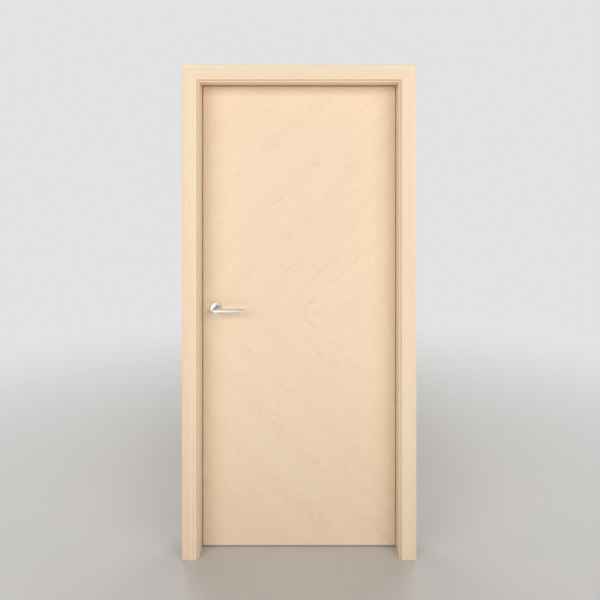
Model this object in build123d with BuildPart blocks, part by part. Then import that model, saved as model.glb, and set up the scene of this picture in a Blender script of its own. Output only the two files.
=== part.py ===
from build123d import *
import os

# An interior door, closed: a flush veneered leaf hung on three butt hinges in a
# rebated frame with mitred casings, and a lever handle on both faces.
# Millimetres. +X is to the right as seen from the recessed side of the leaf, +Y
# points away from that side, the way the leaf opens, and +Z is up. The origin is
# on the wall-side face of the hinge jamb, at the floor, in the middle of its depth.

# Leaf
leaf_width = 870.0
leaf_height = 2040.0
leaf_thickness = 40.0
skin_thickness = 3.5
stile_width = 38.0
rail_height = 42.0
edge_bevel = 2.0
leaf_arris = 1.0

# Room left round the closed leaf
side_gap = 5.0
floor_gap = 6.0
stop_gap = 5.0

# Frame
rebate_wall = 20.0
stop_projection = 12.0
jamb_depth = 120.0
jamb_arris = 1.0
casing_width = 63.0
casing_thickness = 12.0
casing_arris = 1.5
front_reveal = 9.0

# Seal, pressed by its root into a groove in the stop's shoulder, its lip in view
seal_width = 10.5
seal_lip = 3.5
seal_round = 2.0
seal_root_width = 3.0
seal_root_depth = 5.0
seal_root_inset = 5.0
seal_clearance = 0.3

# Butt hinges
hinge_height = 100.0
hinge_plate = 2.5
hinge_plate_reach = 30.0
hinge_from_top = 200.0
hinge_from_bottom = 250.0
knuckle_count = 5
knuckle_radius = 7.0
knuckle_gap = 0.4
knuckle_standoff = 2.0
knuckle_clearance = 5.5
fold_clearance = 6.0
pin_radius = 3.5
pin_clearance = 0.05
pin_tip_radius = 6.0
pin_tip_height = 2.5

# Latch and strike
faceplate_width = 20.0
faceplate_height = 165.0
faceplate_thickness = 3.0
latch_width = 12.0
latch_height = 18.0
latch_length = 30.0
latch_slant = 8.0
latch_clearance = 0.3
strike_width = 24.0
strike_height = 165.0
strike_thickness = 2.0
strike_tongue_height = 50.0
strike_window_margin = 2.0
keeper_depth = 14.0

# Lever handle
handle_height = 1056.0
handle_backset = 67.0
veneer_joint_drop = 21.0
rose_radius = 25.0
rose_thickness = 8.0
rose_edge = 1.5
neck_radius = 9.0
neck_clearance = 0.3
neck_end_gap = 0.5
neck_nose = 4.0
neck_nose_setback = 5.0
lever_length = 131.0
lever_reach = 58.0
bar_height = 13.0
bar_depth = 18.0
bar_drop = 3.0
bar_bevel = 2.0
elbow_round = 9.0
spindle_side = 8.0
spindle_socket = 20.0
spindle_hole_radius = 10.0

# Places worked out from the sizes above
lock_side = -1
hinge_side = 1
jamb_thickness = rebate_wall + stop_projection
outer_width = leaf_width + 2 * side_gap + 2 * rebate_wall
outer_top = floor_gap + leaf_height + side_gap + rebate_wall
mid_x = -outer_width / 2
front_y = -jamb_depth / 2
back_y = jamb_depth / 2

leaf_back = back_y
leaf_front = leaf_back - leaf_thickness
core_front = leaf_front + skin_thickness
core_back = leaf_back - skin_thickness
leaf_bottom = floor_gap
leaf_top = leaf_bottom + leaf_height
leaf_lock = mid_x - leaf_width / 2
leaf_hinge = mid_x + leaf_width / 2
core_left = leaf_lock + stile_width
core_right = leaf_hinge - stile_width
core_bottom = leaf_bottom + rail_height
core_top = leaf_top - rail_height

stop_y = leaf_front - stop_gap
seal_middle = jamb_thickness + seal_lip - seal_width / 2
seal_root_middle = jamb_thickness - seal_root_inset
casing_outer = jamb_thickness - front_reveal - casing_width
front_casing_inner = jamb_thickness - front_reveal
back_casing_inner = rebate_wall - (knuckle_radius + knuckle_clearance - side_gap / 2)
run_on = casing_width + casing_thickness

pin_offset = max(knuckle_radius + knuckle_standoff, (casing_thickness + fold_clearance) / 2)
pin_x = leaf_hinge + side_gap / 2
pin_y = leaf_back + pin_offset
knuckle_pitch = (hinge_height + knuckle_gap) / knuckle_count
lower_hinge = leaf_bottom + hinge_from_bottom
upper_hinge = leaf_top - hinge_from_top
hinge_levels = {
    "upper": upper_hinge,
    "middle": (upper_hinge + lower_hinge) / 2,
    "lower": lower_hinge,
}

handle_x = leaf_lock + handle_backset
handle_z = handle_height
veneer_joint = handle_z - veneer_joint_drop
latch_y = (leaf_front + leaf_back) / 2
strike_face = leaf_lock - side_gap

os.makedirs("parts", exist_ok=True)


def outer_x(hand):
    """X of a side jamb's wall-side face."""
    return mid_x + hand * outer_width / 2


def mitre(hand):
    """The 45 degree plane through a top corner of the frame, facing the head."""
    return Plane(origin=(outer_x(hand), 0, outer_top), z_dir=(-hand, 0, 1))


def lock_edge(y):
    """X of the leaf's lock edge, which leans back towards the stop."""
    return leaf_lock + edge_bevel * (leaf_back - y) / leaf_thickness


def span(centre, size):
    """The two ends of a length about its centre."""
    return (centre - size / 2, centre + size / 2)


def slab(x_span, y_span, z_span, mode=Mode.ADD):
    """A flat-sided block between two values of X, of Y and of Z."""
    with BuildSketch(Plane.XY.offset(min(z_span))) as plan:
        with Locations((sum(x_span) / 2, sum(y_span) / 2)):
            Rectangle(abs(x_span[1] - x_span[0]), abs(y_span[1] - y_span[0]))
    extrude(plan.sketch, amount=abs(z_span[1] - z_span[0]), mode=mode)


def leaf_layer(y_span, z_span, right, mode=Mode.ADD):
    """A layer of the leaf, from its bevelled lock edge to a value of X."""
    near, far = y_span
    with BuildSketch(Plane.XY.offset(z_span[0])) as plan:
        Polygon(
            (lock_edge(near), near),
            (right, near),
            (right, far),
            (lock_edge(far), far),
            align=None,
        )
    extrude(plan.sketch, amount=z_span[1] - z_span[0], mode=mode)


def side_member(hand, section):
    """Run a section up one side of the doorway and cut its mitre.

    A section is drawn inwards from the jamb's wall-side face, and along Y.
    """
    foot = Plane(origin=(outer_x(hand), 0, 0), x_dir=(-hand, 0, 0), z_dir=(0, 0, -hand))
    with BuildSketch(foot) as profile:
        section()
    extrude(profile.sketch, amount=outer_top + run_on, dir=(0, 0, 1))
    split(bisect_by=mitre(hand), keep=Keep.BOTTOM)


def head_member(section):
    """Run the same section across the top of the doorway and cut both mitres."""
    start = (outer_x(lock_side) - run_on, 0, outer_top)
    with BuildSketch(Plane(origin=start, x_dir=(0, 0, -1), z_dir=(1, 0, 0))) as profile:
        section()
    extrude(profile.sketch, amount=outer_width + 2 * run_on)
    split(bisect_by=mitre(lock_side), keep=Keep.TOP)
    split(bisect_by=mitre(hinge_side), keep=Keep.TOP)


def jamb_section():
    """A rebated board, with the seal's groove in the shoulder of its stop."""
    Polygon(
        (0, front_y),
        (jamb_thickness, front_y),
        (jamb_thickness, stop_y),
        (rebate_wall, stop_y),
        (rebate_wall, back_y),
        (0, back_y),
        align=None,
    )
    fillet(vertices().group_by(Axis.X)[-1], jamb_arris)
    with Locations((seal_root_middle, stop_y - seal_root_depth / 2)):
        Rectangle(seal_root_width, seal_root_depth, mode=Mode.SUBTRACT)


def seal_section():
    """A bulb that fills the room before the leaf, on a root in the groove."""
    bulb = stop_gap - seal_clearance
    with Locations((seal_middle, stop_y + bulb / 2)):
        Rectangle(seal_width, bulb)
    fillet(vertices().group_by(Axis.Y)[-1], seal_round)
    with Locations((seal_root_middle, stop_y - seal_root_depth / 2)):
        Rectangle(seal_root_width, seal_root_depth)


def casing_section(inner, wall_y, facing):
    """A flat board on the wall's face, its two show edges eased."""
    with Locations(((casing_outer + inner) / 2, wall_y + facing * casing_thickness / 2)):
        Rectangle(inner - casing_outer, casing_thickness)
    show_side = vertices().sort_by(Axis.Y)
    fillet(show_side[:2] if facing < 0 else show_side[-2:], casing_arris)


def front_casing_section():
    casing_section(front_casing_inner, front_y, -1)


def back_casing_section():
    casing_section(back_casing_inner, back_y, 1)


def hinge_seats(face_x, depth_sign):
    """Cut the three seats that a face needs for its hinge plates."""
    for level in hinge_levels.values():
        slab(
            (face_x, face_x + depth_sign * hinge_plate),
            (leaf_back - hinge_plate_reach, leaf_back),
            span(level, hinge_height),
            mode=Mode.SUBTRACT,
        )


def hinge_half(hand, first_knuckle, level):
    """A hinge plate that carries every other knuckle of the barrel."""
    near = pin_x + hand * side_gap / 2
    plate_end = pin_y - knuckle_radius - knuckle_gap
    slab(
        (near, near + hand * hinge_plate),
        (leaf_back - hinge_plate_reach, plate_end),
        span(level, hinge_height),
    )
    for number in range(first_knuckle, knuckle_count, 2):
        base = level - hinge_height / 2 + number * knuckle_pitch
        with BuildSketch(Plane.XY.offset(base)) as knuckle:
            with Locations((pin_x, pin_y)):
                Circle(knuckle_radius)
            with Locations((near + hand * hinge_plate / 2, (plate_end + pin_y) / 2)):
                Rectangle(hinge_plate, pin_y - plate_end)
            with Locations((pin_x, pin_y)):
                Circle(pin_radius + pin_clearance, mode=Mode.SUBTRACT)
        extrude(knuckle.sketch, amount=knuckle_pitch - knuckle_gap)


def hinge_pin(level):
    """A pin with a flat button over each end of the barrel."""
    reach = hinge_height / 2
    with BuildSketch(Plane.XY.offset(level)) as shaft:
        with Locations((pin_x, pin_y)):
            Circle(pin_radius)
    extrude(shaft.sketch, amount=reach, both=True)
    for tip_base, up in ((level - reach, -1), (level + reach, 1)):
        with BuildSketch(Plane.XY.offset(tip_base)) as tip:
            with Locations((pin_x, pin_y)):
                Circle(pin_tip_radius)
        extrude(tip.sketch, amount=up * pin_tip_height)


def handle_plane(y, facing):
    """A plane across the handle's axis, facing the front (-1) or the back (1)."""
    return Plane(origin=(handle_x, y, handle_z), x_dir=(1, 0, 0), z_dir=(0, facing, 0))


def spindle_hole():
    """Bore the leaf from face to face for the spindle."""
    with BuildSketch(handle_plane(leaf_front, 1)) as hole:
        Circle(spindle_hole_radius)
    extrude(hole.sketch, amount=leaf_thickness, mode=Mode.SUBTRACT)


def rose(face_y, facing):
    """A round cover on the leaf, bored for the lever's neck."""
    with BuildSketch(handle_plane(face_y, facing)) as disc:
        Circle(rose_radius)
        Circle(neck_radius + neck_clearance, mode=Mode.SUBTRACT)
    extrude(disc.sketch, amount=rose_thickness)
    rims = edges().filter_by(GeomType.CIRCLE).sort_by(Axis.Y)
    outer_rims = rims[:2] if facing < 0 else rims[-2:]
    chamfer(outer_rims.sort_by(SortBy.RADIUS)[-1], rose_edge)


def lever(face_y, facing):
    """A round neck with a bevelled nose, and a flat-sided grip bar set low across it."""
    outer = face_y + facing * lever_reach
    inner = outer - facing * bar_depth
    left = handle_x - neck_radius
    right = handle_x + lever_length
    with BuildSketch(Plane.XY.offset(handle_z - bar_drop - bar_height / 2)) as plan:
        with Locations(((left + right) / 2, (outer + inner) / 2)):
            Rectangle(right - left, bar_depth)
        outside = vertices().sort_by(Axis.Y)
        outside = outside[:2] if facing < 0 else outside[-2:]
        fillet(outside.sort_by(Axis.X)[0], elbow_round)
    extrude(plan.sketch, amount=bar_height)
    chamfer(edges(), bar_bevel)
    with BuildPart(mode=Mode.PRIVATE) as neck:
        with BuildSketch(handle_plane(face_y + facing * neck_end_gap, facing)):
            Circle(neck_radius)
        extrude(amount=lever_reach - neck_nose_setback - neck_end_gap)
        chamfer(neck.edges().sort_by(Axis.Y)[0 if facing < 0 else -1], neck_nose)
    add(neck.part)
    with BuildSketch(handle_plane(face_y, facing)) as socket:
        Rectangle(spindle_side, spindle_side)
    extrude(socket.sketch, amount=spindle_socket, mode=Mode.SUBTRACT)


def faceplate(mode=Mode.ADD):
    """The latch's cover plate, which follows the bevel of the lock edge."""
    near, far = span(latch_y, faceplate_width)
    base, top = span(handle_z, faceplate_height)
    with BuildSketch(Plane.XY.offset(base)) as plan:
        Polygon(
            (lock_edge(near), near),
            (lock_edge(near) + faceplate_thickness, near),
            (lock_edge(far) + faceplate_thickness, far),
            (lock_edge(far), far),
            align=None,
        )
    extrude(plan.sketch, amount=top - base, mode=mode)


def latch_way():
    """Cut the way that the latch bolt slides in."""
    leaf_layer(
        span(latch_y, latch_width + 2 * latch_clearance),
        span(handle_z, latch_height + 2 * latch_clearance),
        leaf_lock + latch_length,
        mode=Mode.SUBTRACT,
    )


def strike(mode=Mode.ADD):
    """The plate that the latch strikes, with a tongue to the jamb's back edge."""
    depth = (strike_face - strike_thickness, strike_face)
    near, far = span(latch_y, strike_width)
    slab(depth, (near, far), span(handle_z, strike_height), mode=mode)
    slab(depth, (far, back_y), span(handle_z, strike_tongue_height), mode=mode)


def keeper(depth):
    """Cut the keep that the latch would shoot into."""
    slab(
        (strike_face - depth, strike_face),
        span(latch_y, latch_width + 2 * strike_window_margin),
        span(handle_z, latch_height + 2 * strike_window_margin),
        mode=Mode.SUBTRACT,
    )


def write(piece, name):
    """Name a finished piece and write its file."""
    piece.part.label = name
    export_step(piece.part, f"parts/{name}.step")


# Frame: jambs, seal and casings
with BuildPart() as hinge_jamb:
    side_member(hinge_side, jamb_section)
    hinge_seats(pin_x + side_gap / 2, 1)
write(hinge_jamb, "hinge_jamb")

with BuildPart() as lock_jamb:
    side_member(lock_side, jamb_section)
    strike(mode=Mode.SUBTRACT)
    keeper(keeper_depth)
write(lock_jamb, "lock_jamb")

with BuildPart() as head_jamb:
    head_member(jamb_section)
write(head_jamb, "head_jamb")

trims = {
    "seal": seal_section,
    "front_casing": front_casing_section,
    "back_casing": back_casing_section,
}
for trim, section in trims.items():
    with BuildPart() as left_trim:
        side_member(lock_side, section)
    write(left_trim, f"{trim}_left")
    with BuildPart() as right_trim:
        side_member(hinge_side, section)
    write(right_trim, f"{trim}_right")
    with BuildPart() as head_trim:
        head_member(section)
    write(head_trim, f"{trim}_head")

with BuildPart() as strike_plate:
    strike()
    keeper(strike_thickness)
write(strike_plate, "strike_plate")

# Leaf: stiles, rails and core between two book-matched pairs of face skins
with BuildPart() as lock_stile:
    leaf_layer((core_front, core_back), (leaf_bottom, leaf_top), core_left)
    faceplate(mode=Mode.SUBTRACT)
    latch_way()
write(lock_stile, "lock_stile")

with BuildPart() as hinge_stile:
    slab((core_right, leaf_hinge), (core_front, core_back), (leaf_bottom, leaf_top))
    hinge_seats(leaf_hinge, -1)
write(hinge_stile, "hinge_stile")

with BuildPart() as top_rail:
    slab((core_left, core_right), (core_front, core_back), (core_top, leaf_top))
write(top_rail, "top_rail")

with BuildPart() as bottom_rail:
    slab((core_left, core_right), (core_front, core_back), (leaf_bottom, core_bottom))
write(bottom_rail, "bottom_rail")

with BuildPart() as leaf_core:
    slab((core_left, core_right), (core_front, core_back), (core_bottom, core_top))
    spindle_hole()
write(leaf_core, "leaf_core")

halves = {"lower": (leaf_bottom, veneer_joint), "upper": (veneer_joint, leaf_top)}
for half_name, half_span in halves.items():
    with BuildPart() as front_face:
        leaf_layer((leaf_front, core_front), half_span, leaf_hinge)
        spindle_hole()
        upright = edges().filter_by(Axis.Z).group_by(Axis.Y)[0]
        fillet(upright, leaf_arris)
    write(front_face, f"front_face_{half_name}")

    with BuildPart() as back_face:
        leaf_layer((core_back, leaf_back), half_span, leaf_hinge)
        spindle_hole()
        upright = edges().filter_by(Axis.Z).group_by(Axis.Y)[-1]
        fillet(upright, leaf_arris)
        hinge_seats(leaf_hinge, -1)
    write(back_face, f"back_face_{half_name}")

# Latch
with BuildPart() as lock_faceplate:
    faceplate()
    latch_way()
write(lock_faceplate, "lock_faceplate")

with BuildPart() as latch_bolt:
    near, far = span(latch_y, latch_width)
    base, top = span(handle_z, latch_height)
    with BuildSketch(Plane.XY.offset(base)):
        Polygon(
            (lock_edge(near) + latch_slant, near),
            (leaf_lock + latch_length, near),
            (leaf_lock + latch_length, far),
            (lock_edge(far), far),
            align=None,
        )
    extrude(amount=top - base)
write(latch_bolt, "latch_bolt")

# Hinges
for place, level in hinge_levels.items():
    with BuildPart() as frame_plate:
        hinge_half(hinge_side, 0, level)
    write(frame_plate, f"hinge_frame_plate_{place}")

    with BuildPart() as leaf_plate:
        hinge_half(lock_side, 1, level)
    write(leaf_plate, f"hinge_leaf_plate_{place}")

    with BuildPart() as pin:
        hinge_pin(level)
    write(pin, f"hinge_pin_{place}")

# Handle
for side, face_y, facing in (("front", leaf_front, -1), ("back", leaf_back, 1)):
    with BuildPart() as cover:
        rose(face_y, facing)
    write(cover, f"{side}_rose")

    with BuildPart() as grip:
        lever(face_y, facing)
    write(grip, f"{side}_lever")

with BuildPart() as spindle:
    with BuildSketch(handle_plane(leaf_front - spindle_socket, 1)):
        Rectangle(spindle_side, spindle_side)
    extrude(amount=leaf_thickness + 2 * spindle_socket)
write(spindle, "spindle")
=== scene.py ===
import math

import bmesh
import bpy
from mathutils import Matrix, Vector


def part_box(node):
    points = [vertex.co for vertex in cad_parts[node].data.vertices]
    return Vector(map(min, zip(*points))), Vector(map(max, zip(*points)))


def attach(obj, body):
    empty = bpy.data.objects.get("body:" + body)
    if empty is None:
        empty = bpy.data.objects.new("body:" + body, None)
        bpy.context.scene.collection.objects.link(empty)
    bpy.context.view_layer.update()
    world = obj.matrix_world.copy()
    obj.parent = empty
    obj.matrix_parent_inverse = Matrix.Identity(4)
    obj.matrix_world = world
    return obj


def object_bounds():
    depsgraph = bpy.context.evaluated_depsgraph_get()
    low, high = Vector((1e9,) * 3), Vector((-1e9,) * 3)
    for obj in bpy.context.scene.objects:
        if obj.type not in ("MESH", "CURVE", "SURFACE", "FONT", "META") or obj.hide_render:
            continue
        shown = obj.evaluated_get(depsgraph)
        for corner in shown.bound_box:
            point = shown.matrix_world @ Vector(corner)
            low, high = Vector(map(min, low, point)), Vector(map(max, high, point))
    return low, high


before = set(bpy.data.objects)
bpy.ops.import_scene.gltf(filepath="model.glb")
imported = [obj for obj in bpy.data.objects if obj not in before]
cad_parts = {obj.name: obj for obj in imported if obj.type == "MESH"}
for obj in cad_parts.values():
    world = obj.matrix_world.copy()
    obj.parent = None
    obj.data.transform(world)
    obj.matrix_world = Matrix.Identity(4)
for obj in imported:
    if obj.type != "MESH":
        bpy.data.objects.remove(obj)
cad_low, cad_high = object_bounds()
middle_x = (cad_low.x + cad_high.x) / 2

SIDES = (("front", -1), ("back", 1))
HANDS = (("left", -1), ("right", 1))
LEVELS = ("upper", "middle", "lower")

# The view: heights and distances in metres, the lens and its sensor in millimetres
EYE_HEIGHT = 1.583
EYE_TO_JAMB = 2.42
LENS = 33.9
SENSOR_WIDTH = 36.0
VIEW_SHIFT = (0.0014, -0.1855)

# Where the face veneers meet, and the directions that grain runs in
VENEER_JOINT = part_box("front_face_upper")[0].z
UPRIGHT = math.radians(90)
LEVEL = 0.0
SLANTED = math.radians(44)

# Pale oak under matt lacquer
OAK_YELLOW = (0.93, 0.765, 0.535)
OAK_PINK = (0.93, 0.715, 0.535)
OAK_DARK = (0.76, 0.55, 0.37)
OAK_PORE = (0.50, 0.32, 0.19)
LACQUER = 0.12
LACQUER_ROUGHNESS = 0.32

# What the oak's colours are multiplied by on the jambs, as painted shade on the reveals,
# on the head jamb, as painted light on its underside, on the leaf's edges, and on all other
# pieces
JAMB_PAINTED_SHADE = (0.93, 0.95, 0.98)
LINTEL_PAINTED_LIGHT = (1.0, 1.0, 1.03)
EDGE_TONE = (0.93, 0.93, 0.93)
PLAIN = (1.0, 1.0, 1.0)

# Marks in the oak: their length along the grain and width across it in metres, then
# the detail and the roughness of their noise. Marks with clear wood between them
# also have the two levels of noise between which they rise from nothing to full.
BANDS = (1.1, 0.055, 2.0)
STRIPES = (2.2, 0.011, 2.0)
FIBRES = (0.045, 0.0014, 3.0, 0.6)
TINTS = ((1.6, 0.014, 1.0), (0.40, 0.60))
STREAKS = ((0.16, 0.0055, 3.0, 0.55), (0.50, 0.78))
CLUSTERS = ((0.22, 0.035, 1.0), (0.52, 0.70))
DARK_FLECKS = ((0.040, 0.0042, 1.0), (0.50, 0.70))
LIGHT_FLECKS = ((0.034, 0.0040, 1.0), (0.52, 0.70))
LIGHT_FLECK_SHIFT = (3.0, 1.0, 2.0)
PORES = ((0.011, 0.00055, 2.0, 0.6), (0.60, 0.72))
SWAY_WAVES = (1.7, 5.0, 5.0)
HALF = 0.5

# How much the marks darken the wood. Streaks and flecks do it more in clusters.
WOOD_DEPTH = 0.12
BAND_DEPTH = 0.34
STRIPE_DEPTH = 0.9
FIBRE_DEPTH = 0.42
STREAK_DEPTH = 0.12
CLUSTERED_STREAK_DEPTH = 0.30
FLECK_DEPTH = 0.15
CLUSTERED_FLECK_DEPTH = 0.26
PORE_DEPTH = 0.30

# Relief and gloss of the oak. A bump is its strength and its depth in metres.
FIBRE_RELIEF = 0.35
OAK_BUMP = (0.25, 0.00012)
OAK_ROUGHNESS = 0.46
FIBRE_ROUGHNESS = 0.10
PORE_ROUGHNESS = 0.15

# Core board and seals. A noise is its waves per metre, its detail and its roughness.
CHIPS = ((260.0, 260.0, 180.0), 3.0, 0.6)
CHIP_CONTRAST = (0.35, 0.65)
CHIP_COLOURS = ((0.42, 0.30, 0.19), (0.66, 0.50, 0.34))
CHIP_BUMP = (0.5, 0.0006)
CHIP_ROUGHNESS = 0.85
DUST = ((90.0, 90.0, 25.0), 3.0)
DUST_CONTRAST = (0.4, 0.7)
DUST_ROUGHNESS = 0.12
SEAL_COLOURS = ((0.30, 0.19, 0.11), (0.38, 0.25, 0.155))
SEAL_BUMP = (0.3, 0.0003)
SEAL_ROUGHNESS = 0.62

# Metal: lines left by the brush, as waves per metre, and cloudy wear over them
ALONG_THE_BAR = (60.0, 4000.0, 4000.0)
ACROSS_THE_ROSE = (1500.0, 400.0, 1500.0)
DOWN_THE_PLATE = (3000.0, 3000.0, 80.0)
ALL_WAYS = (900.0, 900.0, 900.0)
LINE_NOISE = (2.0, 0.6)
LINE_CONTRAST = (0.3, 0.8)
LINE_SHADE = 0.88
LINE_BUMP = (0.12, 0.00003)
LINE_ROUGHNESS = 0.06
CLOUDS = ((45.0, 45.0, 45.0), 3.0, 0.6)
CLOUD_ROUGHNESS = 0.04

# Sizes of the CAD that the screws are set by
SIDE_GAP = 0.005
FACEPLATE_THICKNESS = 0.003
NECK_RADIUS = 0.009

# Cross-head screws. A hinge screw's place is its share of the plate's height and its
# distance from the plate's near edge. Turns are the first screw's and each step.
SCREW_RADIUS = 0.0038
SCREW_RISE = 0.0005
SCREW_SIDES = 30
HINGE_NEAR_ROW = 0.0085
HINGE_FAR_ROW = 0.020
HINGE_SCREW_PLACES = (
    (0.13, HINGE_NEAR_ROW),
    (0.38, HINGE_FAR_ROW),
    (0.62, HINGE_FAR_ROW),
    (0.87, HINGE_NEAR_ROW),
)
HINGE_SCREW_TURNS = (0.4, 1.3)
PLATE_SCREW_INSET = 0.012
PLATE_SCREW_TURNS = (0.9, 1.1)

# Shares of a screw head's radius
CROSS_ARM = 0.16
CROSS_REACH = 0.58
SOCKET_RADIUS = 0.62
FACE_RADIUS = 0.93
RECESS_TAPER = 0.85

# Shares of a screw head's height
BEVEL_FOOT = 0.5
RECESS_FLOOR = 0.15

# Grub screws under the necks of the levers
GRUB_RADIUS = 0.0022
GRUB_SUNK = 0.0004
GRUB_FROM_ROSE = 0.011
SOCKET_SIDES = 6

# Floor, in metres, and where it starts and ends to fade
FLOOR_REACH = 6.0
FLOOR_DROP = 0.0005
FLOOR_FADE = (0.8, 4.5)
FLOOR_MOTTLE = ((3.0, 3.0, 3.0), 3.0)
FLOOR_CONTRAST = (0.3, 0.7)
FLOOR_COLOURS = ((0.542, 0.532, 0.518), (0.552, 0.542, 0.528))
FLOOR_ROUGHNESS = 0.45
FLOOR_GLOSS = 0.5

# World: its light, its background, and what gloss shows of it. The bright parts of
# that lie level or below, half-way between the front, the back and the sides.
WORLD_WHITE = (1.0, 1.0, 1.0, 1.0)
WORLD_LIGHT = 0.31
BACKGROUND = (0.765, 0.765, 0.765)
GLOSS_DIM = (0.40, 0.38, 0.35)
GLOSS_BRIGHT = (1.75, 1.72, 1.68)
GLOW_ACROSS = (0.07, 0.135)
GLOW_DOWN = (-0.05, 0.08)

# Four large lamps round the door, and two low ones that light the head jamb's underside
LAMP_COLOUR = (1.0, 0.99, 0.98)
LAMP_ASIDE = 3.0
LAMP_AWAY = 4.0
LAMP_HEIGHT = 3.0
LAMP_AIM_HEIGHT = 1.0
LAMP_SIZE = (3.4, 2.8)
LAMP_WATTS = {"front": 109.0, "back": 84.0}
LOW_LAMP_AWAY = 1.9
LOW_LAMP_HEIGHT = 0.05
LOW_LAMP_AIM_HEIGHT = 3.0
LOW_LAMP_SIZE = (2.4, 1.2)
LOW_LAMP_WATTS = {"front": 11.0, "back": 8.5}


class Signal:
    """An output in a node tree, on which arithmetic adds Math nodes."""

    def __init__(self, tree, socket):
        self.tree = tree
        self.socket = socket

    def outputs(self, *names):
        """Named outputs of the node that this one comes from."""
        return [Signal(self.tree, self.socket.node.outputs[name]) for name in names]

    def math(self, operation, *values):
        return self.tree.node("ShaderNodeMath", {"operation": operation}, dict(enumerate(values)))

    def __add__(self, other):
        return self.math("ADD", self, other)

    def __sub__(self, other):
        return self.math("SUBTRACT", self, other)

    def __rsub__(self, other):
        return self.math("SUBTRACT", other, self)

    def __mul__(self, other):
        return self.math("MULTIPLY", self, other)

    def __abs__(self):
        return self.math("ABSOLUTE", self)

    __radd__ = __add__
    __rmul__ = __mul__


class Tree:
    """The node tree of a material or of the world."""

    # A Mix node's sockets share their names, so its colours go by number
    MIX_FACTOR = 0
    MIX_COLOURS = (6, 7)
    MIX_RESULT = 2

    def __init__(self, owner):
        owner.use_nodes = True
        self.nodes = owner.node_tree.nodes
        self.links = owner.node_tree.links
        self.nodes.clear()

    def node(self, kind, settings=None, sockets=None, output=0):
        """Add a node, set it up, feed its sockets and return one of its outputs."""
        made = self.nodes.new(kind)
        for name, value in (settings or {}).items():
            setattr(made, name, value)
        for name, value in (sockets or {}).items():
            if isinstance(value, Signal):
                self.links.new(value.socket, made.inputs[name])
            else:
                made.inputs[name].default_value = value
        return Signal(self, made.outputs[output]) if made.outputs else None

    def place(self):
        """The place on a piece, in metres from the origin."""
        return self.node("ShaderNodeTexCoord", output="Object")

    def split(self, vector):
        """The X, Y and Z of a vector."""
        return self.node("ShaderNodeSeparateXYZ", {}, {0: vector}).outputs("X", "Y", "Z")

    def vector(self, operation, first, second):
        return self.node("ShaderNodeVectorMath", {"operation": operation}, {0: first, 1: second})

    def blend(self, factor, first, second):
        """Mix two colours by a factor."""
        colours = [c if isinstance(c, Signal) else (*c, 1.0) for c in (first, second)]
        sockets = {self.MIX_FACTOR: factor, **dict(zip(self.MIX_COLOURS, colours))}
        return self.node("ShaderNodeMix", {"data_type": "RGBA"}, sockets, self.MIX_RESULT)

    def ease(self, value, low, high):
        """0 below low and 1 above high, with a smooth rise between them."""
        sockets = {"Value": value, "From Min": low, "From Max": high}
        return self.node("ShaderNodeMapRange", {"interpolation_type": "SMOOTHSTEP"}, sockets)

    def noise(self, place, waves, detail=2.0, roughness=0.5):
        """Noise from 0 to 1, with so many waves per metre along X, Y and Z."""
        scaled = self.vector("MULTIPLY", place, waves)
        sockets = {"Vector": scaled, "Scale": 1.0, "Detail": detail, "Roughness": roughness}
        return self.node("ShaderNodeTexNoise", {}, sockets)

    def bump(self, height, strength, depth):
        sockets = {"Strength": strength, "Distance": depth, "Height": height}
        return self.node("ShaderNodeBump", {}, sockets)

    def surface(self, **sockets):
        """Finish the tree with one Principled surface."""
        named = {name.replace("_", " "): value for name, value in sockets.items()}
        shader = self.node("ShaderNodeBsdfPrincipled", {}, named)
        self.node("ShaderNodeOutputMaterial", {}, {"Surface": shader})


def new_finish(name):
    material = bpy.data.materials.new(name)
    return material, Tree(material)


# Wood, core board and seals


def grain_place(tree, turn, mirrored, shift):
    """The place on a piece, in metres, with X turned to run along its grain."""
    place = tree.place()
    if mirrored:
        x, y, z = tree.split(place)
        sockets = {"X": x, "Y": y, "Z": abs(z - VENEER_JOINT)}
        place = tree.node("ShaderNodeCombineXYZ", {}, sockets)
    sockets = {"Vector": place, "Center": (0.0, 0.0, 0.0), "Angle": turn}
    turned = tree.node("ShaderNodeVectorRotate", {"rotation_type": "Y_AXIS"}, sockets)
    return tree.vector("ADD", turned, shift)


def wavering(tree, place, sway):
    """Let straight grain wander sideways a little."""
    drift = (tree.noise(place, SWAY_WAVES, 1.0) - HALF) * sway
    sideways = tree.node("ShaderNodeCombineXYZ", {}, {"Y": drift, "Z": drift})
    return tree.vector("ADD", place, sideways)


def drawn_out(tree, place, length, width, *noise):
    """Noise drawn out along the grain."""
    return tree.noise(place, (1.0 / length, 1.0 / width, 1.0 / width), *noise)


def marks(tree, place, size, rise):
    """Marks drawn out along the grain, 1 in their middle and 0 on the wood between them."""
    return tree.ease(drawn_out(tree, place, *size), *rise)


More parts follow.
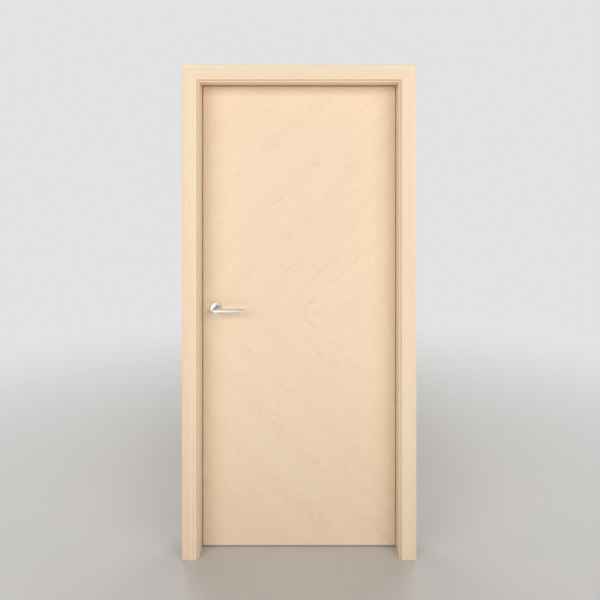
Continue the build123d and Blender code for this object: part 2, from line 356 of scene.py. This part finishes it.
def oak(
    name,
    turn,
    mirrored=False,
    shift=(0.0, 0.0, 0.0),
    streaky=0.3,
    striped=1.0,
    sway=0.003,
    tone_and_painted_light=PLAIN,
):
    """Oak veneer: stripes, streaks, short flecks, fibre and open pores under matt lacquer."""
    material, tree = new_finish(name)
    place = wavering(tree, grain_place(tree, turn, mirrored, shift), sway)
    bands = drawn_out(tree, place, *BANDS)
    stripes = drawn_out(tree, place, *STRIPES)
    fibres = drawn_out(tree, place, *FIBRES)
    tints = marks(tree, place, *TINTS)
    streaks = marks(tree, place, *STREAKS)
    clusters = marks(tree, place, *CLUSTERS)
    dark_flecks = marks(tree, place, *DARK_FLECKS)
    light_flecks = marks(tree, tree.vector("ADD", place, LIGHT_FLECK_SHIFT), *LIGHT_FLECKS)
    pores = marks(tree, place, *PORES)

    dark = (bands - HALF) * BAND_DEPTH + WOOD_DEPTH
    dark = dark + (stripes - HALF) * (STRIPE_DEPTH * striped)
    dark = dark + (fibres - HALF) * FIBRE_DEPTH
    dark = dark + streaks * (STREAK_DEPTH + clusters * (CLUSTERED_STREAK_DEPTH * streaky))
    flecks = (dark_flecks - light_flecks) * (FLECK_DEPTH + clusters * CLUSTERED_FLECK_DEPTH)
    dark = dark + flecks * streaky

    # The colours are multiplied by a tone: painted shade on the jambs, painted light on the head
    # jamb, the wood's own tone elsewhere
    oak_colours = (OAK_PINK, OAK_YELLOW, OAK_DARK)
    pink, yellow, deep = (tuple(map(math.prod, zip(colour, tone_and_painted_light))) for colour in oak_colours)
    clear = tree.blend(HALF + (tints - HALF) * striped, pink, yellow)
    tree.surface(
        Base_Color=tree.blend(pores * PORE_DEPTH, tree.blend(dark, clear, deep), OAK_PORE),
        Roughness=OAK_ROUGHNESS + fibres * FIBRE_ROUGHNESS + pores * PORE_ROUGHNESS,
        Coat_Weight=LACQUER,
        Coat_Roughness=LACQUER_ROUGHNESS,
        Normal=tree.bump(fibres * FIBRE_RELIEF - pores, *OAK_BUMP),
    )
    return material


def core_board(name):
    """Chips of pressed board, which only the spindle's bore shows."""
    material, tree = new_finish(name)
    chips = tree.noise(tree.place(), *CHIPS)
    tree.surface(
        Base_Color=tree.blend(tree.ease(chips, *CHIP_CONTRAST), *CHIP_COLOURS),
        Roughness=CHIP_ROUGHNESS,
        Normal=tree.bump(chips, *CHIP_BUMP),
    )
    return material


def seal_rubber(name):
    """Matt brown rubber, faintly mottled with dust."""
    material, tree = new_finish(name)
    dust = tree.noise(tree.place(), *DUST)
    tree.surface(
        Base_Color=tree.blend(tree.ease(dust, *DUST_CONTRAST), *SEAL_COLOURS),
        Roughness=SEAL_ROUGHNESS + dust * DUST_ROUGHNESS,
        Normal=tree.bump(dust, *SEAL_BUMP),
    )
    return material


# Metal


def brushed_metal(name, colour, roughness, brushed):
    """Satin metal, with fine lines along the direction that it was brushed in."""
    material, tree = new_finish(name)
    place = tree.place()
    lines = tree.noise(place, brushed, *LINE_NOISE)
    clouds = tree.noise(place, *CLOUDS)
    darker = tuple(channel * LINE_SHADE for channel in colour)
    tree.surface(
        Base_Color=tree.blend(tree.ease(lines, *LINE_CONTRAST), colour, darker),
        Metallic=1.0,
        Roughness=roughness + lines * LINE_ROUGHNESS + clouds * CLOUD_ROUGHNESS,
        Normal=tree.bump(lines, *LINE_BUMP),
    )
    return material


# Small fasteners


def cross_outline():
    """The outline of a cross recess, for a screw head of radius 1."""
    corners = ((CROSS_ARM, CROSS_ARM), (CROSS_ARM, CROSS_REACH), (-CROSS_ARM, CROSS_REACH))
    turns = [Matrix.Rotation(math.radians(90 * quarter), 2) for quarter in range(4)]
    return [turn @ Vector(corner) for turn in turns for corner in corners]


def ring_outline(radius, sides):
    """A regular outline round a screw's middle."""
    angles = [math.tau * side / sides for side in range(sides)]
    return [Vector((radius * math.cos(angle), radius * math.sin(angle))) for angle in angles]


def screw(mesh, place, radius, height, recess):
    """Add a screw head with a bevelled rim and a sunk recess, its face towards the place's Z."""

    def loop(outline, scale, z):
        return [mesh.verts.new(place @ Vector((*(point * scale), z))) for point in outline]

    def band(lower, upper):
        for index in range(len(lower)):
            after = (index + 1) % len(lower)
            mesh.faces.new((lower[index], lower[after], upper[after], upper[index]))

    def edges_of(verts):
        pairs = zip(verts, verts[1:] + verts[:1])
        return [mesh.edges.get(pair) or mesh.edges.new(pair) for pair in pairs]

    rim = ring_outline(radius, SCREW_SIDES)
    foot = loop(rim, 1.0, 0.0)
    edge = loop(rim, 1.0, height * BEVEL_FOOT)
    face = loop(rim, FACE_RADIUS, height)
    mouth = loop(recess, radius, height)
    floor = loop(recess, radius * RECESS_TAPER, height * RECESS_FLOOR)
    band(foot, edge)
    band(edge, face)
    band(mouth, floor)
    mesh.faces.new(floor)
    mesh.faces.new(reversed(foot))
    bmesh.ops.triangle_fill(mesh, use_beauty=True, edges=edges_of(face) + edges_of(mouth))


def linked(name, data):
    """Put data into the scene as an object."""
    made = bpy.data.objects.new(name, data)
    bpy.context.scene.collection.objects.link(made)
    return made


def meshed(name, mesh, finish):
    """Turn a finished mesh into an object."""
    data = bpy.data.meshes.new(name)
    mesh.to_mesh(data)
    mesh.free()
    data.materials.append(finish)
    return linked(name, data)


def fastener(name, mesh, finish, body):
    """Turn a mesh of screws into a piece that rides on a body."""
    bmesh.ops.recalc_face_normals(mesh, faces=mesh.faces)
    made = meshed(name, mesh, finish)
    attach(made, body)


def facing(origin, normal, up):
    """A placement whose Z is the normal and whose Y is near up."""
    z = Vector(normal).normalized()
    x = Vector(up).cross(z).normalized()
    return Matrix.Translation(origin) @ Matrix((x, z.cross(x), z)).transposed().to_4x4()


def cross_screw(mesh, place, normal, number, first_turn, step):
    """Add the next cross-head screw of a row, each turned further than the one before."""
    turn = Matrix.Rotation(first_turn + step * number, 3, Vector(normal))
    up = turn @ Vector((0.0, 0.0, 1.0))
    screw(mesh, facing(place, normal, up), SCREW_RADIUS, SCREW_RISE, cross_outline())


def hinge_screws(finish):
    """Four staggered screws in the flat of each hinge plate."""
    leaf_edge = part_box("hinge_stile")[1].x
    halves = {"leaf": (leaf_edge, 1.0), "frame": (leaf_edge + SIDE_GAP, -1.0)}
    for level in LEVELS:
        for half, (face_x, outward) in halves.items():
            node = f"hinge_{half}_plate_{level}"
            low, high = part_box(node)
            mesh = bmesh.new()
            for number, (share, row) in enumerate(HINGE_SCREW_PLACES):
                place = (face_x, low.y + row, low.z + (high.z - low.z) * share)
                cross_screw(mesh, place, (outward, 0.0, 0.0), number, *HINGE_SCREW_TURNS)
            fastener(f"screws_{node}", mesh, finish, half)


def latch_screws(finish):
    """Two screws in the latch's faceplate, and two in the strike plate on the jamb."""
    low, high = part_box("lock_faceplate")
    lean = (high.x - low.x - FACEPLATE_THICKNESS) / (high.y - low.y)
    middle_y = (low.y + high.y) / 2
    strike_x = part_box("strike_plate")[1].x
    plates = {
        "lock_faceplate": ("leaf", low.x + lean * (high.y - middle_y), (-1.0, -lean, 0.0)),
        "strike_plate": ("frame", strike_x, (1.0, 0.0, 0.0)),
    }
    for node, (body, face_x, normal) in plates.items():
        mesh = bmesh.new()
        for number, z in enumerate((low.z + PLATE_SCREW_INSET, high.z - PLATE_SCREW_INSET)):
            cross_screw(mesh, (face_x, middle_y, z), normal, number, *PLATE_SCREW_TURNS)
        fastener(f"screws_{node}", mesh, finish, body)


def grub_screws(finish):
    """A small socket screw under each lever's neck, which clamps it to the spindle."""
    socket = ring_outline(SOCKET_RADIUS, SOCKET_SIDES)
    for side, facing_y in SIDES:
        low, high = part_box(f"{side}_rose")
        rose_face = low.y if facing_y < 0 else high.y
        centre = (low + high) / 2
        underside = centre.z - NECK_RADIUS + GRUB_SUNK
        place = (centre.x, rose_face + facing_y * GRUB_FROM_ROSE, underside)
        mesh = bmesh.new()
        downwards = facing(place, (0.0, 0.0, -1.0), (0.0, 1.0, 0.0))
        screw(mesh, downwards, GRUB_RADIUS, 2 * GRUB_SUNK, socket)
        fastener(f"grub_screw_{side}", mesh, finish, "lever")


# Finishes


def dress(finish, *nodes):
    """Give CAD nodes a finish."""
    for node in nodes:
        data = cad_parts[node].data
        data.materials.clear()
        data.materials.append(finish)


# Each shift cuts its boards from another part of the wood
veneer = oak(
    "leaf_veneer",
    SLANTED,
    mirrored=True,
    shift=(0.3, 0.0, 0.0),
    streaky=1.0,
    striped=0.15,
    sway=0.012,
)
leg_oak = oak("casing_leg_oak", UPRIGHT, shift=(2.3, 0.7, 0.0))
head_oak = oak("casing_head_oak", LEVEL, shift=(5.1, 1.9, 0.4))
# The jambs' oak is darkened by painted shade on the reveals
jamb_oak = oak("jamb_oak", UPRIGHT, shift=(7.7, 3.1, 0.2), tone_and_painted_light=JAMB_PAINTED_SHADE)
# The head jamb's oak is lightened by painted light on its underside
lintel_oak = oak("head_jamb_oak", LEVEL, shift=(3.7, 4.1, 0.9), tone_and_painted_light=LINTEL_PAINTED_LIGHT)
stile_oak = oak("stile_oak", UPRIGHT, shift=(9.2, 5.3, 0.6), tone_and_painted_light=EDGE_TONE)
rail_oak = oak("rail_oak", LEVEL, shift=(1.2, 6.3, 0.1), tone_and_painted_light=EDGE_TONE)
board = core_board("leaf_core_board")
rubber = seal_rubber("seal_rubber")
nickel = brushed_metal("lever_satin_nickel", (0.74, 0.725, 0.70), 0.12, ALONG_THE_BAR)
rose_nickel = brushed_metal("rose_satin_nickel", (0.80, 0.79, 0.77), 0.20, ACROSS_THE_ROSE)
hinge_steel = brushed_metal("hinge_satin_steel", (0.57, 0.56, 0.54), 0.36, DOWN_THE_PLATE)
plate_steel = brushed_metal("latch_satin_steel", (0.60, 0.59, 0.57), 0.34, DOWN_THE_PLATE)
screw_steel = brushed_metal("screw_steel", (0.53, 0.52, 0.50), 0.36, ALL_WAYS)

for side, _ in SIDES:
    dress(veneer, f"{side}_face_upper", f"{side}_face_lower")
    dress(leg_oak, f"{side}_casing_left", f"{side}_casing_right")
    dress(head_oak, f"{side}_casing_head")
    dress(rose_nickel, f"{side}_rose")
    dress(nickel, f"{side}_lever")
dress(jamb_oak, "hinge_jamb", "lock_jamb")
dress(lintel_oak, "head_jamb")
dress(stile_oak, "lock_stile", "hinge_stile")
dress(rail_oak, "top_rail", "bottom_rail")
dress(board, "leaf_core")
dress(rubber, "seal_left", "seal_right", "seal_head")
dress(plate_steel, "strike_plate", "lock_faceplate", "latch_bolt", "spindle")
for level in LEVELS:
    dress(hinge_steel, f"hinge_frame_plate_{level}", f"hinge_leaf_plate_{level}")
    dress(hinge_steel, f"hinge_pin_{level}")

hinge_screws(screw_steel)
latch_screws(screw_steel)
grub_screws(screw_steel)


# Stage


def floor_finish():
    """A pale, slightly glossy floor that fades into the background all round."""
    material, tree = new_finish("floor_finish")
    place = tree.place()
    mottle = tree.noise(place, *FLOOR_MOTTLE)
    sockets = {
        "Base Color": tree.blend(tree.ease(mottle, *FLOOR_CONTRAST), *FLOOR_COLOURS),
        "Roughness": FLOOR_ROUGHNESS,
        "Specular IOR Level": FLOOR_GLOSS,
    }
    solid = tree.node("ShaderNodeBsdfPrincipled", {}, sockets)
    clear = tree.node("ShaderNodeBsdfTransparent")
    length = {"operation": "LENGTH"}
    distance = tree.node("ShaderNodeVectorMath", length, {0: place}, output="Value")
    fade = tree.ease(distance, *FLOOR_FADE)
    mixed = tree.node("ShaderNodeMixShader", {}, {0: fade, 1: solid, 2: clear})
    tree.node("ShaderNodeOutputMaterial", {}, {"Surface": mixed})
    return material


def pale_floor():
    """A level floor under the door, just clear of its feet."""
    mesh = bmesh.new()
    bmesh.ops.create_grid(mesh, x_segments=2, y_segments=2, size=FLOOR_REACH)
    floor = meshed("floor", mesh, floor_finish())
    floor.location = (middle_x, 0.0, -FLOOR_DROP)


def pale_world():
    """Soft light from all round, and a pale background for the camera and for gloss."""
    world = bpy.data.worlds.new("pale_room")
    bpy.context.scene.world = world
    tree = Tree(world)
    rays = ("Is Camera Ray", "Is Glossy Ray", "Is Transmission Ray")
    camera, glossy, transmission = tree.node("ShaderNodeLightPath").outputs(*rays)
    seen = camera
    for ray in (glossy, transmission):
        seen = seen.math("MAXIMUM", seen, ray)
    sockets = {"Color": WORLD_WHITE, "Strength": WORLD_LIGHT}
    light = tree.node("ShaderNodeBackground", {}, sockets)
    x, y, z = tree.split(tree.node("ShaderNodeTexCoord", output="Generated"))
    glow = tree.ease(abs(x * y), *GLOW_ACROSS) * tree.ease(0.0 - z, *GLOW_DOWN)
    gloss = tree.blend(glow, GLOSS_DIM, GLOSS_BRIGHT)
    shown = tree.blend(camera, gloss, BACKGROUND)
    pale = tree.node("ShaderNodeBackground", {}, {"Color": shown, "Strength": 1.0})
    mixed = tree.node("ShaderNodeMixShader", {}, {0: seen, 1: light, 2: pale})
    tree.node("ShaderNodeOutputWorld", {}, {"Surface": mixed})


def area_light(name, place, target, size, power):
    """A soft lamp that the camera doesn't see."""
    lamp = bpy.data.lights.new(name, "AREA")
    lamp.shape = "RECTANGLE"
    lamp.size, lamp.size_y = size
    lamp.energy = power
    lamp.color = LAMP_COLOUR
    made = linked(name, lamp)
    made.location = place
    made.rotation_euler = (Vector(target) - Vector(place)).to_track_quat("-Z", "Y").to_euler()
    made.visible_camera = False


def studio_lamps():
    """The same soft lamps on the front and on the back of the door, weaker on the back."""
    for hand_name, hand in HANDS:
        for side, facing_y in SIDES:
            place = (middle_x + hand * LAMP_ASIDE, facing_y * LAMP_AWAY, LAMP_HEIGHT)
            target = (middle_x, 0.0, LAMP_AIM_HEIGHT)
            area_light(f"{side}_{hand_name}", place, target, LAMP_SIZE, LAMP_WATTS[side])
    for side, facing_y in SIDES:
        place = (middle_x, facing_y * LOW_LAMP_AWAY, LOW_LAMP_HEIGHT)
        target = (middle_x, facing_y * LOW_LAMP_AWAY, LOW_LAMP_AIM_HEIGHT)
        area_light(f"{side}_low", place, target, LOW_LAMP_SIZE, LOW_LAMP_WATTS[side])


def photograph_camera():
    """A level camera before the doorway, at eye height, its view shifted down."""
    camera = bpy.data.cameras.new("camera")
    camera.lens = LENS
    camera.sensor_width = SENSOR_WIDTH
    camera.shift_x, camera.shift_y = VIEW_SHIFT
    made = linked("camera", camera)
    jamb_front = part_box("hinge_jamb")[0].y
    made.location = (middle_x, jamb_front - EYE_TO_JAMB, EYE_HEIGHT)
    made.rotation_euler = (math.radians(90), 0.0, 0.0)
    bpy.context.scene.camera = made


studio_lamps()
pale_floor()
pale_world()
photograph_camera()
bpy.context.scene.view_settings.view_transform = "Standard"
